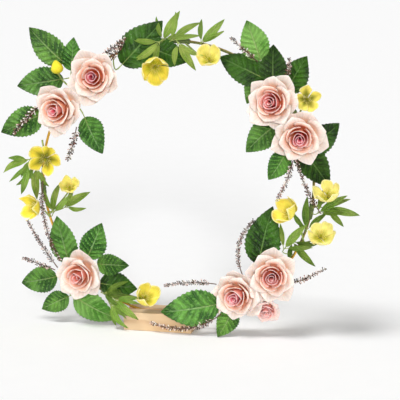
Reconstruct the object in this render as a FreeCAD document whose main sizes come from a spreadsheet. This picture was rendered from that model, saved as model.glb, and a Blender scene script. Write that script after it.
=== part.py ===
import FreeCAD, Part

import math
import os

import Sketcher
from FreeCAD import Placement, Rotation, Vector

# A gold wire hoop that stands in a slotted wooden block, dressed with roses, hellebores,
# leaves and heather. The origin is the centre of the block's bottom face. The hoop lies in
# the XZ plane and its flowers face -Y. Lengths are in millimetres and angles in degrees.

DIMENSIONS = {
    # the hoop and its block
    "hoop_outside": 304.8,
    "wire_gauge": 2.8,
    "block_length": 76.0,
    "block_depth": 38.0,
    "block_height": 20.0,
    "slot_width": 3.2,
    "slot_depth": 8.0,
    "edge_round": 0.8,
    "seat_gap": 0.2,
    "hoop_shift": 16.0,
    # what is bound to the hoop
    "stem_gauge": 2.6,
    "stem_gap": 0.2,
    "tape_radius": 3.7,
    "tape_span": 7.0,
    "tape_clearance": 0.2,
    # flowers
    "rose_radius": 22.5,
    "rose_height": 27.0,
    "rosette_radius": 12.0,
    "rosette_height": 15.0,
    "bell_radius": 15.0,
    "bell_height": 11.0,
    "bud_radius": 6.0,
    "bud_height": 15.0,
    "stalk_gauge": 1.8,
    "stalk_gap": 0.4,
    # leaves, by size class
    "great_blade": 63.0,
    "great_width": 38.0,
    "large_blade": 54.0,
    "large_width": 31.0,
    "medium_blade": 43.0,
    "medium_width": 29.0,
    "small_blade": 35.0,
    "small_width": 23.0,
    "bract_blade": 30.0,
    "bract_width": 9.0,
    "leaf_stalk": 7.0,
    "leaf_stalk_width": 2.0,
    "leaf_thickness": 0.7,
    # heather
    "sprig_gauge": 2.6,
}

# Two lengths nearer than this are the same.
TOUCH = 0.01

# Local axes of a flower or leaf: X and Y lie in the hoop's plane and Z faces the front.
FRONT = Rotation(Vector(1, 0, 0), 90)

# Half profiles, as shares of a flower's radius and height, from the middle of its back round
# to the middle of its face.
BLOOM_SHARES = [(0.2, 0), (0.3, 0.12), (0.62, 0.22), (0.93, 0.45), (1, 0.62), (0.9, 0.82),
                (0.62, 0.96), (0, 1)]
BELL_SHARES = [(0.2, 0), (0.55, 0.25), (0.9, 0.6), (1, 1), (0.88, 1), (0.45, 0.5), (0, 0.42)]
BUD_SHARES = [(0.35, 0), (0.85, 0.25), (1, 0.5), (0.75, 0.8), (0.3, 0.97), (0, 1)]

# Bunches along the hoop: the middle of each tape wrap and the run of its stem bundle, as
# angles round the hoop from +X towards +Z.
BUNCHES = {
    "top_left": (137, 116, 160),
    "top": (87, 64, 110),
    "top_right": (32, 14, 52),
    "right": (-10, -25, 8),
    "bottom_right": (-50, -67, -32),
    "bottom_left": (225, 208, 245),
    "left": (184, 168, 198),
}

# Roses: place of the back of the flower from the hoop's centre, in X and Z, its depth in
# front of the wire, then which way the flower leans and by how much.
ROSES = {
    "rose_1": (-86, 111, 6, 40, 8),
    "rose_2": (-124, 78, 6, 215, 10),
    "rose_3": (-103, -105, 6, 225, 6),
    "rose_4": (74, -118, 6, 210, 8),
    "rose_5": (109, -97, 6, 30, 8),
    "rose_6": (110, 88, 6, 140, 8),
    "rose_7": (136, 55, 6, 320, 10),
}
ROSETTE = (102, -132, 5.5, 290, 25)

# Hellebores: place, depth, lean direction, lean angle and size against the full bell.
HELLEBORES = {
    "hellebore_1": (-19, 124, 10, 300, 35, 1.0),
    "hellebore_2": (40, 130, 8, 80, 30, 0.9),
    "hellebore_3": (143, 92, 7, 30, 15, 0.85),
    "hellebore_4": (129, -30, 9, 190, 40, 0.95),
    "hellebore_5": (168, -9, 12, 100, 40, 0.9),
    "hellebore_6": (160, -53, 9, 60, 30, 0.9),
    "hellebore_7": (-117, -11, 10, 60, 35, 0.7),
    "hellebore_8": (-156, -33, 7, 200, 40, 0.95),
    "hellebore_9": (-145, 21, 7, 340, 15, 1.1),
    "hellebore_10": (-33, -131, 10, 20, 40, 0.9),
}
HELLEBORE_BUD = (-126, 115, 13, 100, 75)

# Leaves: place of the stalk's end from the hoop's centre, depth, heading in the hoop's
# plane, how far the tip lifts to the front and size class.
LEAVES = {
    "leaf_top_left_1": (-117, 122, 6.0, 137, 2, "large"),
    "leaf_top_left_2": (-116, 110, 9.2, 190, 2, "large"),
    "leaf_top_left_3": (-142, 73, 6.4, 204, 0, "large"),
    "leaf_top_left_4": (-114, 112, 7.6, 85, 2, "small"),
    "leaf_top_left_5": (-102, 73, 6.4, 297, 4, "medium"),
    "leaf_top_1": (-60, 121, 8.2, 46, 0, "great"),
    "leaf_top_2": (-32, 146, 5.6, 340, 0, "medium"),
    "leaf_top_right_1": (105, 110, 6.2, 156, 0, "large"),
    "leaf_top_right_2": (96, 126, 6.0, 110, 2, "medium"),
    "leaf_top_right_3": (108, 98, 7.2, 91, 2, "medium"),
    "leaf_top_right_4": (118, 93, 5.8, 62, 0, "medium"),
    "leaf_top_right_5": (96, 124, 5.0, 245, 0, "small"),
    "leaf_top_right_6": (116, 69, 6.4, 222, 4, "medium"),
    "leaf_top_right_7": (126, 42, 6.4, 238, 4, "small"),
    "leaf_top_right_8": (137, 37, 6.6, 36, 2, "medium"),
    "leaf_top_right_9": (130, 48, 5.5, 309, 0, "large"),
    "leaf_bottom_right_1": (92, -92, 5.6, 79, 0, "great"),
    "leaf_bottom_right_2": (70, -131, 6.0, 243, 32, "small"),
    "leaf_bottom_right_3": (58, -130, 11.0, 187, 20, "great"),
    "leaf_bottom_left_1": (-119, -102, 6.0, 104, 2, "large"),
    "leaf_bottom_left_2": (-102, -95, 7.4, 66, 2, "medium"),
    "leaf_bottom_left_3": (-94, -95, 6.0, 0, 2, "small"),
    "leaf_bottom_left_4": (-91, -116, 7.2, 355, 4, "medium"),
    "leaf_bottom_left_5": (-121, -131, 6.0, 334, 4, "large"),
    "leaf_bottom_left_6": (-129, -111, 6.0, 192, 4, "medium"),
    "leaf_bottom_left_7": (-116, -131, 7.2, 207, 4, "small"),
}

# Hellebore bracts, in sprays: place, depth, heading and tip lift of each.
BRACTS = {
    "bracts_top": [
        (-12, 150, 6.8, 60, 0),
        (-2, 151, 9.0, 34, 4),
        (5, 151, 10.2, 304, 4),
        (29, 148, 6, 44, 4),
        (-12, 151, 12, 214, 4),
    ],
    "bracts_left": [
        (-163, 20, 6, 202, 6),
        (-164, 15, 7.5, 253, 6),
        (-157, 12, 6, 274, 6),
        (-138, -41, 7.5, 76, 6),
        (-126, -34, 6, 30, 8),
    ],
    "bracts_right": [
        (164, -22, 6, 350, 4),
        (156, -28, 7.5, 35, 4),
        (129, -59, 6, 315, 4),
        (145, -47, 7.5, 88, 6),
        (121, -68, 9, 50, 6),
    ],
    "bracts_bottom": [
        (-82, -127, 9, 351, 6),
        (-72, -137, 14, 315, 25),
        (-66, -131, 16, 329, 20),
    ],
}

# Stalks of the hellebores: the foot of each, from where it runs to the back of its flower.
STALKS = {
    "hellebore_1": (-9, 150, 7.2),
    "hellebore_2": (12, 150, 6.3),
    "hellebore_3": (134, 74, 6.3),
    "hellebore_4": (140, -56, 6.3),
    "hellebore_5": (150, -22, 6.3),
    "hellebore_6": (144, -60, 6.3),
    "hellebore_7": (-142, -40, 6.3),
    "hellebore_8": (-146, -42, 6.3),
    "hellebore_9": (-149, 37, 6.3),
    "hellebore_10": (-76, -122, 6.3),
    "hellebore_bud": (-112, 100, 11.5),
}

# Heather: place of the cut end, depth, first heading, length and bend radius of each
# sprig. A positive bend turns to the left as the sprig is seen from the front.
HEATHER = {
    "heather_top_left": [
        (-147, 82, 9.5, 218, 48, 200),
        (-80, 130, 11.0, 44, 38, -200),
        (-68, 128, 13.8, 50, 26, 200),
        (-108, 57, 9.5, 262, 37, -120),
    ],
    "heather_top_right": [
        (92, 131, 11.5, 146, 38, -150),
        (123, 114, 11.5, 80, 22, 150),
        (131, 31, 11.5, 258, 50, -150),
        (134, 29, 13.5, 284, 62, 150),
    ],
    "heather_bottom_right": [
        (78, -98, 12.5, 118, 66, -50),
        (128, -105, 9.5, 20, 42, 150),
        (48, -110, 9.5, 174, 58, 150),
        (56, -139, 24.0, 222, 84, -75),
    ],
    "heather_bottom_left": [
        (-133, -101, 9.5, 128, 62, -400),
        (-129, -92, 11.5, 122, 92, -130),
        (-135, -103, 12.5, 160, 40, 300),
    ],
}


def dimension_sheet(doc):
    """The driving dimensions, one aliased cell each."""
    sheet = doc.addObject("Spreadsheet::Sheet", "Sizes")
    for row, (name, value) in enumerate(DIMENSIONS.items(), start=1):
        sheet.set(f"A{row}", name)
        sheet.set(f"B{row}", str(value))
        sheet.setAlias(f"B{row}", name)
    doc.recompute()
    return sheet


def hoop_point(across, up, depth):
    """A point given from the hoop's centre, depth in front of the wire's middle."""
    size = DIMENSIONS
    seat = size["block_height"] - size["slot_depth"] + size["seat_gap"]
    return Vector(size["hoop_shift"] + across, -depth, seat + size["hoop_outside"] / 2 + up)


def facing(across, up, depth, turn, lift):
    """A place on the hoop with local X turned in the hoop's plane and lifted to the front."""
    return Placement(hoop_point(across, up, depth), FRONT * Rotation(turn, -lift, 0))


def leaning(across, up, depth, direction, lean):
    """A place on the hoop with local Z facing the front and leaning in a direction."""
    return Placement(hoop_point(across, up, depth), FRONT * Rotation(direction, lean, 0))


def new_body(doc, label):
    body = doc.addObject("PartDesign::Body", label)
    body.Label = label
    return body


def new_sketch(body, name, plane):
    """A sketch on one of the body's own origin planes."""
    sketch = body.newObject("Sketcher::SketchObject", name)
    origin = [f for f in body.Origin.OriginFeatures if f.Role == plane]
    sketch.AttachmentSupport = [(origin[0], "")]
    sketch.MapMode = "FlatFace"
    return sketch


def bound_polygon(sketch, corners):
    """A closed polygon whose corners are (x, y) expressions of the sheet's cells."""
    points = [Vector(evaluate(across), evaluate(up), 0) for across, up in corners]
    count = len(points)
    for index in range(count):
        sketch.addGeometry(Part.LineSegment(points[index], points[(index + 1) % count]))
    for index in range(count):
        sketch.addConstraint(Sketcher.Constraint("Coincident", index, 2, (index + 1) % count, 1))
    for index, (across, up) in enumerate(corners):
        bind_coordinate(sketch, "DistanceX", index, points[index].x, across)
        bind_coordinate(sketch, "DistanceY", index, points[index].y, up)


def evaluate(term):
    """The number that a sum of (factor, cell) pairs stands for."""
    return sum(factor * DIMENSIONS[cell] for factor, cell in term)


def expression(term):
    """The same sum written as a spreadsheet expression."""
    return " + ".join(f"({factor}) * Sizes.{cell}" for factor, cell in term)


def bind_coordinate(sketch, kind, index, value, term):
    """Fixes one coordinate of a line's start point, on the axis where its value is zero."""
    if not term:
        axis = -2 if kind == "DistanceX" else -1
        sketch.addConstraint(Sketcher.Constraint("PointOnObject", index, 1, axis))
        return
    row = sketch.addConstraint(Sketcher.Constraint(kind, -1, 1, index, 1, value))
    sketch.setExpression(f"Constraints[{row}]", expression(term))


def part_of(cell, share=1.0):
    """A share of one cell, as a term."""
    return [(share, cell)]


def hoop_torus(doc, label, radius_offset, tube, span=None, middle=0.0, depth=0.0):
    """A torus, or a sector of one, that follows the hoop's wire."""
    torus = doc.addObject("Part::Torus", label)
    torus.Label = label
    line = "(Sizes.hoop_outside - Sizes.wire_gauge) / 2"
    torus.setExpression("Radius1", f"{line} + ({radius_offset})")
    torus.setExpression("Radius2", tube)
    first = 0.0
    if span is not None:
        torus.Angle3 = span
        first = middle - span / 2
    torus.Placement = Placement(hoop_point(0, 0, depth), FRONT * Rotation(first, 0, 0))
    return torus


def make_hoop(doc):
    return hoop_torus(doc, "gold_hoop", 0, "Sizes.wire_gauge / 2")


def make_stand(doc):
    """The block: its end profile with the slot, run along X, with its long edges eased."""
    body = new_body(doc, "wood_stand")
    sketch = new_sketch(body, "wood_stand_profile", "YZ_Plane")
    half_depth = part_of("block_depth", 0.5)
    half_slot = part_of("slot_width", 0.5)
    top = part_of("block_height")
    floor = [(1.0, "block_height"), (-1.0, "slot_depth")]
    bound_polygon(sketch, [
        (part_of("block_depth", -0.5), []),
        (half_depth, []),
        (half_depth, top),
        (half_slot, top),
        (half_slot, floor),
        (part_of("slot_width", -0.5), floor),
        (part_of("slot_width", -0.5), top),
        (part_of("block_depth", -0.5), top),
    ])
    pad = body.newObject("PartDesign::Pad", "wood_stand_pad")
    pad.Profile = sketch
    pad.setExpression("Length", "Sizes.block_length")
    pad.Midplane = True
    doc.recompute()
    eased = body.newObject("PartDesign::Fillet", "wood_stand_edges")
    eased.Base = (pad, outer_long_edges(pad.Shape))
    eased.setExpression("Radius", "Sizes.edge_round")
    body.Tip = eased
    return body


def outer_long_edges(shape):
    """Names of the edges along X on the block's two long faces."""
    half_depth = DIMENSIONS["block_depth"] / 2
    names = []
    for number, edge in enumerate(shape.Edges, start=1):
        box = edge.BoundBox
        along = math.isclose(box.XLength, DIMENSIONS["block_length"], abs_tol=TOUCH)
        outer = math.isclose(abs(box.Center.y), half_depth, abs_tol=TOUCH)
        if along and outer:
            names.append(f"Edge{number}")
    return names


def stem_depth():
    """Depth of the stem bundles' middle in front of the wire's middle."""
    size = DIMENSIONS
    return size["wire_gauge"] / 2 + size["stem_gap"] + size["stem_gauge"] / 2


def group(doc, label, members):
    """Several separate solids in one node."""
    compound = doc.addObject("Part::Compound", label)
    compound.Label = label
    compound.Links = members
    return compound


def make_stem_bundles(doc):
    bundles = []
    for name, (_, first, last) in BUNCHES.items():
        middle = (first + last) / 2
        bundles.append(hoop_torus(doc, f"stems_{name}", 0, "Sizes.stem_gauge / 2",
                                  last - first, middle, stem_depth()))
    return group(doc, "stem_bundles", bundles)


def make_tape_wraps(doc):
    """A short sleeve round the wire and the stems at the middle of each bunch."""
    wraps = []
    for name, (middle, _, _) in BUNCHES.items():
        span = DIMENSIONS["tape_span"]
        past_ends = 2 * span
        sleeve = hoop_torus(doc, f"sleeve_{name}", 0, "Sizes.tape_radius",
                            span, middle, stem_depth() / 2)
        wire = hoop_torus(doc, f"wire_way_{name}", 0,
                          "Sizes.wire_gauge / 2 + Sizes.tape_clearance", past_ends, middle)
        stems = hoop_torus(doc, f"stem_way_{name}", 0,
                           "Sizes.stem_gauge / 2 + Sizes.tape_clearance",
                           past_ends, middle, stem_depth())
        around_wire = doc.addObject("Part::Cut", f"round_wire_{name}")
        around_wire.Base = sleeve
        around_wire.Tool = wire
        wrap = doc.addObject("Part::Cut", f"wrap_{name}")
        wrap.Base = around_wire
        wrap.Tool = stems
        wraps.append(wrap)
    return group(doc, "tape_wraps", wraps)


def revolved(doc, label, corners, placement):
    """A solid of revolution about local Z from a half profile."""
    body = new_body(doc, label)
    sketch = new_sketch(body, f"{label}_profile", "XZ_Plane")
    bound_polygon(sketch, corners)
    turned = body.newObject("PartDesign::Revolution", f"{label}_turned")
    turned.Profile = sketch
    turned.ReferenceAxis = (sketch, ["V_Axis"])
    turned.Angle = 360
    body.Tip = turned
    body.Placement = placement
    return body


def half_profile(shares, radius, height, size=1.0):
    """Corners of a half profile from shares of a radius and of a height."""
    corners = [([], [])]
    for share, up in shares:
        across = part_of(radius, share * size) if share else []
        corners.append((across, part_of(height, up * size) if up else []))
    return corners


def make_blooms(doc):
    blooms = []
    for label, place in ROSES.items():
        profile = half_profile(BLOOM_SHARES, "rose_radius", "rose_height")
        blooms.append(revolved(doc, label, profile, leaning(*place)))
    profile = half_profile(BLOOM_SHARES, "rosette_radius", "rosette_height")
    blooms.append(revolved(doc, "rose_small", profile, leaning(*ROSETTE)))
    for label, place in HELLEBORES.items():
        profile = half_profile(BELL_SHARES, "bell_radius", "bell_height", place[-1])
        blooms.append(revolved(doc, label, profile, leaning(*place[:-1])))
    profile = half_profile(BUD_SHARES, "bud_radius", "bud_height")
    blooms.append(revolved(doc, "hellebore_bud", profile, leaning(*HELLEBORE_BUD)))
    return blooms


def blade(doc, label, size_class, placement):
    """A flat leaf along local X: a lens of two arcs on a short stalk."""
    body = new_body(doc, label)
    length = DIMENSIONS[f"{size_class}_blade"]
    width = DIMENSIONS[f"{size_class}_width"]
    start = DIMENSIONS["leaf_stalk"]
    sketch = new_sketch(body, f"{label}_blade", "XY_Plane")
    heel, tip = Vector(start, 0, 0), Vector(start + length, 0, 0)
    for side in (1, -1):
        crown = Vector(start + length / 2, side * width / 2, 0)
        sketch.addGeometry(Part.Arc(heel, crown, tip))
    upper_start, upper_end = (2, 1)
    lower_start, lower_end = (1, 2)
    sketch.addConstraint([
        Sketcher.Constraint("Coincident", 0, upper_start, 1, lower_start),
        Sketcher.Constraint("Coincident", 0, upper_end, 1, lower_end),
        Sketcher.Constraint("PointOnObject", 0, upper_start, -1),
        Sketcher.Constraint("PointOnObject", 0, upper_end, -1),
        Sketcher.Constraint("Equal", 0, 1),
    ])
    row = sketch.addConstraint(
        Sketcher.Constraint("DistanceX", -1, 1, 0, upper_start, start))
    sketch.setExpression(f"Constraints[{row}]", "Sizes.leaf_stalk")
    row = sketch.addConstraint(
        Sketcher.Constraint("DistanceX", 0, upper_start, 0, upper_end, length))
    sketch.setExpression(f"Constraints[{row}]", f"Sizes.{size_class}_blade")
    half = width / 2
    row = sketch.addConstraint(
        Sketcher.Constraint("Radius", 0, (length * length / 4 + half * half) / (2 * half)))
    sketch.setExpression(
        f"Constraints[{row}]",
        f"(Sizes.{size_class}_blade ^ 2 + Sizes.{size_class}_width ^ 2)"
        f" / (4 * Sizes.{size_class}_width)")
    thick_pad(body, f"{label}_blade_pad", sketch)
    sketch = new_sketch(body, f"{label}_stalk", "XY_Plane")
    into_blade = [(1.0, "leaf_stalk"), (0.1, f"{size_class}_blade")]
    half_stalk = part_of("leaf_stalk_width", 0.5)
    bound_polygon(sketch, [
        ([], part_of("leaf_stalk_width", -0.5)),
        (into_blade, part_of("leaf_stalk_width", -0.5)),
        (into_blade, half_stalk),
        ([], half_stalk),
    ])
    body.Tip = thick_pad(body, f"{label}_stalk_pad", sketch)
    body.Placement = placement
    return body


def thick_pad(body, name, sketch):
    """A pad of a leaf's thickness, half to each side."""
    pad = body.newObject("PartDesign::Pad", name)
    pad.Profile = sketch
    pad.setExpression("Length", "Sizes.leaf_thickness")
    pad.Midplane = True
    return pad


def make_leaves(doc):
    leaves = []
    for label, place in LEAVES.items():
        leaves.append(blade(doc, label, place[-1], facing(*place[:-1])))
    return leaves


def make_bracts(doc):
    sprays = []
    for label, places in BRACTS.items():
        members = [blade(doc, f"{label}_{number}", "bract", facing(*place))
                   for number, place in enumerate(places, start=1)]
        sprays.append(group(doc, label, members))
    return sprays


def flower_backs():
    """The point just behind each stalked flower that its stalk runs to."""
    places = {name: place[:5] for name, place in HELLEBORES.items()}
    places["hellebore_bud"] = HELLEBORE_BUD
    behind = Vector(0, 0, -DIMENSIONS["stalk_gauge"] - DIMENSIONS["stalk_gap"])
    return {name: leaning(*place).multVec(behind) for name, place in places.items()}


def make_stalks(doc):
    """A straight round stalk from each foot to just behind its hellebore."""
    backs = flower_backs()
    rods = []
    for name, place in STALKS.items():
        foot = hoop_point(*place)
        run = backs[name] - foot
        rod = doc.addObject("Part::Cylinder", f"stalk_{name}")
        rod.setExpression("Radius", "Sizes.stalk_gauge / 2")
        rod.Height = run.Length
        rod.Placement = Placement(foot, Rotation(Vector(0, 0, 1), run))
        rods.append(rod)
    return group(doc, "flower_stalks", rods)


def make_sprig(doc, label, across, up, depth, heading, length, bend):
    """One curved sprig: a torus sector that starts at a place with a heading."""
    radius = abs(bend)
    sweep = math.degrees(length / radius)
    torus = doc.addObject("Part::Torus", label)
    torus.Radius1 = radius
    torus.setExpression("Radius2", "Sizes.sprig_gauge / 2")
    torus.Angle3 = sweep
    side = 1 if bend > 0 else -1
    to_centre = math.radians(heading + side * 90)
    centre = hoop_point(across + radius * math.cos(to_centre),
                        up + radius * math.sin(to_centre), depth)
    first = heading - 90 if side > 0 else heading + 90 - sweep
    torus.Placement = Placement(centre, FRONT * Rotation(first, 0, 0))
    return torus


def make_heather(doc):
    bunches = []
    for label, places in HEATHER.items():
        members = [make_sprig(doc, f"{label}_{number}", *place)
                   for number, place in enumerate(places, start=1)]
        bunches.append(group(doc, label, members))
    return bunches


def check(doc, nodes):
    """Stops if an object failed to compute or a node's shape isn't sound."""
    for item in doc.Objects:
        bad = [state for state in item.State if state in ("Invalid", "Error")]
        if bad:
            raise RuntimeError(f"{item.Label} is {bad}")
    for node in nodes:
        if node.Shape.isNull() or not node.Shape.isValid() or not node.Shape.Solids:
            raise RuntimeError(f"{node.Label} has no sound shape")


def export(nodes):
    os.makedirs("parts", exist_ok=True)
    for node in nodes:
        node.Shape.exportStep(f"parts/{node.Label}.step")


def main():
    doc = FreeCAD.newDocument("WreathFrame")
    dimension_sheet(doc)
    nodes = [make_hoop(doc), make_stand(doc), make_stem_bundles(doc), make_tape_wraps(doc)]
    nodes += make_blooms(doc)
    nodes += make_leaves(doc)
    nodes += make_bracts(doc)
    nodes.append(make_stalks(doc))
    nodes += make_heather(doc)
    doc.recompute()
    check(doc, nodes)
    export(nodes)
    return nodes


main()
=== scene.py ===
import math
import random

import bmesh
import bpy
import numpy as np
from mathutils import Matrix, Vector


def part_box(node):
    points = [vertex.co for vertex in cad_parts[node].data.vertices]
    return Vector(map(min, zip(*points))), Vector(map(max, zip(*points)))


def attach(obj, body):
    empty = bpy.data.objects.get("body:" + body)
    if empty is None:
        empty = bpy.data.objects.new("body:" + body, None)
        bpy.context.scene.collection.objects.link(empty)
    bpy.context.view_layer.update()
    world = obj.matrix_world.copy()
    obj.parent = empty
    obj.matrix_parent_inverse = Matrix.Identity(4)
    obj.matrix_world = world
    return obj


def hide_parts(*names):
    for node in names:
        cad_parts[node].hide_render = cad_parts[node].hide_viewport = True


# The looks of a dressed wreath hoop on its slotted block. Flowers and leaves are shaped in
# millimetres in their own local axes, then put where their CAD solids are.

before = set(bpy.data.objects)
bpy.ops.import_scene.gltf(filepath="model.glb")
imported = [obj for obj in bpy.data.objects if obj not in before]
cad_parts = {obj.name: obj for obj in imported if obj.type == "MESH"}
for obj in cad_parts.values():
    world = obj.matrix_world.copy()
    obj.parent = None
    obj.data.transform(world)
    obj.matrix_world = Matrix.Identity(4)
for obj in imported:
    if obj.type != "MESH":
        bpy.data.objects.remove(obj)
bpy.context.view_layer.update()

MM = 0.001
UNTURNED = Matrix.Identity(4)
GOLDEN_TURN = math.radians(137.5)
HOOP_LOW, HOOP_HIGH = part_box("gold_hoop")
HOOP_CENTRE = (HOOP_LOW + HOOP_HIGH) / 2
WIRE_GAUGE = HOOP_HIGH.y - HOOP_LOW.y
HOOP_RADIUS = (HOOP_HIGH.x - HOOP_LOW.x - WIRE_GAUGE) / 2
STEM_DEPTH = 3.0 * MM  # how far in front of the wire the bound stems lie
WHITE = (1, 1, 1)


def colour(red, green, blue):
    """A linear colour from the three sRGB values, 0 to 255."""
    values = []
    for value in (red, green, blue):
        share = value / 255
        low = share <= 0.04045
        values.append(share / 12.92 if low else ((share + 0.055) / 1.055) ** 2.4)
    return np.array(values)


# Petal colours. The foot of a heart petal is its own colour times HEART_CREASE_SHADE, which
# darkens it as painted shade in the creases between petals. PEACH and PEACH_PALE at the other
# petals' feet are partly their own colour and partly painted shade, and HEART_RIM pales the rims
# near the heart, partly their own colour and partly painted highlight.
HEART_PINK = colour(255, 112, 146)
HEART_CORAL = colour(255, 124, 96)
HEART_CREASE_SHADE = np.array([0.95, 0.55, 0.62])
HEART_RIM = colour(255, 220, 218)
PEACH = colour(255, 146, 84)
PEACH_PALE = colour(255, 204, 168)
BLUSH = colour(255, 212, 190)
CREAM_PINK = colour(246, 230, 221)
LEMON = colour(246, 224, 48)
LEMON_PALE = colour(253, 244, 158)
LEMON_GREEN = colour(170, 172, 12)
OLIVE = colour(104, 112, 4)
DUSKY_PINK = colour(248, 186, 176)
STAMEN_YELLOW = colour(236, 206, 84)
STAMEN_DARK = colour(92, 72, 34)


# --- meshes from grids

class Surface:
    """Collects grids and tubes of points, in millimetres, into one mesh."""

    def __init__(self):
        self.points = []
        self.faces = []
        self.colours = []
        self.details = []
        self.count = 0

    def grid(self, points, shade=WHITE, detail=(0, 0), closed=False):
        """Rows by columns of points, with colours and places (u, v) for the material. Closed
        joins each row's last point to its first. Gives its first point's number."""
        rows, columns = points.shape[:2]
        start = self.count
        self.count += rows * columns
        self.points.append(points.reshape(-1, 3))
        self.colours.append(np.broadcast_to(shade, (rows, columns, 3)).reshape(-1, 3))
        self.details.append(np.broadcast_to(detail, (rows, columns, 2)).reshape(-1, 2))
        index = start + np.arange(rows * columns).reshape(rows, columns)
        if closed:
            index = np.concatenate([index, index[:, :1]], axis=1)
        corners = (index[:-1, :-1], index[:-1, 1:], index[1:, 1:], index[1:, :-1])
        self.faces.extend(np.stack(corners, axis=-1).reshape(-1, 4).tolist())
        return start

    def tube(self, path, radii, shade=WHITE, sides=6):
        """A capped round tube along a path of points."""
        rings = tube_rings(np.asarray(path, float), radii, sides)
        start = self.grid(np.array(rings), shade, closed=True)
        first = list(range(start, start + sides))
        last = list(range(self.count - sides, self.count))
        self.faces.extend([first[::-1], last])

    def petal(self, across, along, turn, angle, radius, lift, tones, to_body, to_edge):
        """A grid bent round the flower's axis, shaded from its foot to its body and edge."""
        points = np.stack([radius * np.cos(angle), radius * np.sin(angle), lift], axis=-1)
        foot, body, edge = tones
        shade = mixed(mixed(foot, body, to_body[..., None]), edge, to_edge[..., None])
        self.grid(points, shade, np.stack([(across + 1) / 2 + turn, along], axis=-1))

    def piece(self, name, matrix, slot, finish, back=None, node=None, thickness=0):
        """The finished piece: local millimetres put in place by matrix, riding on the wreath. Its
        slot is not used. A sheet gets its thickness, and its back can have a finish of its own.
        The CAD node that the piece stands for is hidden."""
        points = np.concatenate(self.points) * MM
        mesh = bpy.data.meshes.new(name)
        mesh.from_pydata(points.tolist(), [], self.faces)
        mesh.transform(matrix)
        mesh.materials.append(MATERIALS[finish])
        if back:
            mesh.materials.append(MATERIALS[back])
        layer = mesh.color_attributes.new("shade", "FLOAT_COLOR", "POINT")
        shades = np.hstack([np.concatenate(self.colours), np.ones((self.count, 1))])
        layer.data.foreach_set("color", shades.astype(np.float32).ravel())
        places = np.concatenate(self.details)
        corners = np.empty(len(mesh.loops), np.int32)
        mesh.loops.foreach_get("vertex_index", corners)
        uv = mesh.uv_layers.new(name="detail")
        uv.data.foreach_set("uv", places[corners].astype(np.float32).ravel())
        mesh.shade_smooth()
        mesh.update()
        piece = new_object(name, mesh)
        if thickness:
            shell = piece.modifiers.new("thickness", "SOLIDIFY")
            shell.thickness = thickness * MM
            shell.offset = 0
            shell.material_offset = 1 if back else 0
        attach(piece, "wreath")
        if node:
            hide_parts(node)


def new_object(name, data):
    made = bpy.data.objects.new(name, data)
    bpy.context.scene.collection.objects.link(made)
    return made


def unit(vector):
    return vector / np.linalg.norm(vector)


def tube_rings(path, radii, sides):
    """Rings of points round a path, each turned as little as possible from the last."""
    steps = np.gradient(path, axis=0)
    steps /= np.linalg.norm(steps, axis=1)[:, None]
    helper = np.array([0.0, 0.0, 1.0])
    if abs(steps[0] @ helper) > 0.9:
        helper = np.array([1.0, 0.0, 0.0])
    side = np.cross(steps[0], helper)
    angles = np.arange(sides) * 2 * math.pi / sides
    rings = []
    for point, step, radius in zip(path, steps, radii):
        side = unit(side - step * (side @ step))
        other = np.cross(step, side)
        ring = [point + radius * (math.cos(a) * side + math.sin(a) * other) for a in angles]
        rings.append(ring)
    return rings


# --- places from the CAD

def solids_of(node):
    """The separate solids of a CAD node, each as corner points, face middles and areas."""
    work = bmesh.new()
    work.from_mesh(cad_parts[node].data)
    bmesh.ops.remove_doubles(work, verts=work.verts, dist=1e-6)
    unseen = set(work.verts)
    found = []
    # Each solid is grown from one of its corners, along its edges.
    while unseen:
        island = [unseen.pop()]
        for vert in island:
            for edge in vert.link_edges:
                other = edge.other_vert(vert)
                if other in unseen:
                    unseen.remove(other)
                    island.append(other)
        faces = {face for vert in island for face in vert.link_faces}
        points = np.array([vert.co[:] for vert in island])
        middles = np.array([face.calc_center_median()[:] for face in faces])
        areas = np.array([face.calc_area() for face in faces])
        found.append((points, middles, areas))
    work.free()
    return sorted(found, key=lambda solid: tuple(solid[0].mean(axis=0).round(4)))


def main_axes(middles, areas):
    """Surface centroid and the three main axes, the longest first."""
    centroid = (middles * areas[:, None]).sum(axis=0) / areas.sum()
    apart = middles - centroid
    spread = (apart * areas[:, None]).T @ apart / areas.sum()
    values, vectors = np.linalg.eigh(spread)
    return centroid, vectors[:, ::-1].T, values[::-1]


def matrix_of(origin, x_axis, y_axis, z_axis):
    columns = Matrix((x_axis, y_axis, z_axis)).transposed().to_4x4()
    return Matrix.Translation(origin) @ columns


def blade_place(solid):
    """Matrix, length and width of a leaf: local X runs from stalk to tip, Z to the front."""
    points, middles, areas = solid
    centroid, axes, _ = main_axes(middles, areas)
    run = axes[0]
    reach = (points - centroid) @ run
    if reach.max() > -reach.min():
        run = -run
        reach = -reach
    front = axes[2] if axes[2][1] < 0 else -axes[2]
    root = centroid + run * reach.min()
    width = np.ptp((points - centroid) @ axes[1])
    side = np.cross(front, run)
    return matrix_of(root, run, side, front), np.ptp(reach) / MM, width / MM


def bloom_place(node):
    """Matrix, radius and height of a flower: local Z is its axis, from its back."""
    points, middles, areas = solids_of(node)[0]
    centroid, axes, values = main_axes(middles, areas)
    odd = 0 if values[0] - values[1] > values[1] - values[2] else 2
    axis = axes[odd] if axes[odd][1] < 0 else -axes[odd]
    height = (points - centroid) @ axis
    back = centroid + axis * height.min()
    side = unit(np.cross(axis, np.array([0.0, 0.0, 1.0])))
    other = np.cross(axis, side)
    away = points - centroid
    radius = np.linalg.norm(away - np.outer(height, axis), axis=1).max()
    return matrix_of(back, side, other, axis), radius / MM, np.ptp(height) / MM


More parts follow.
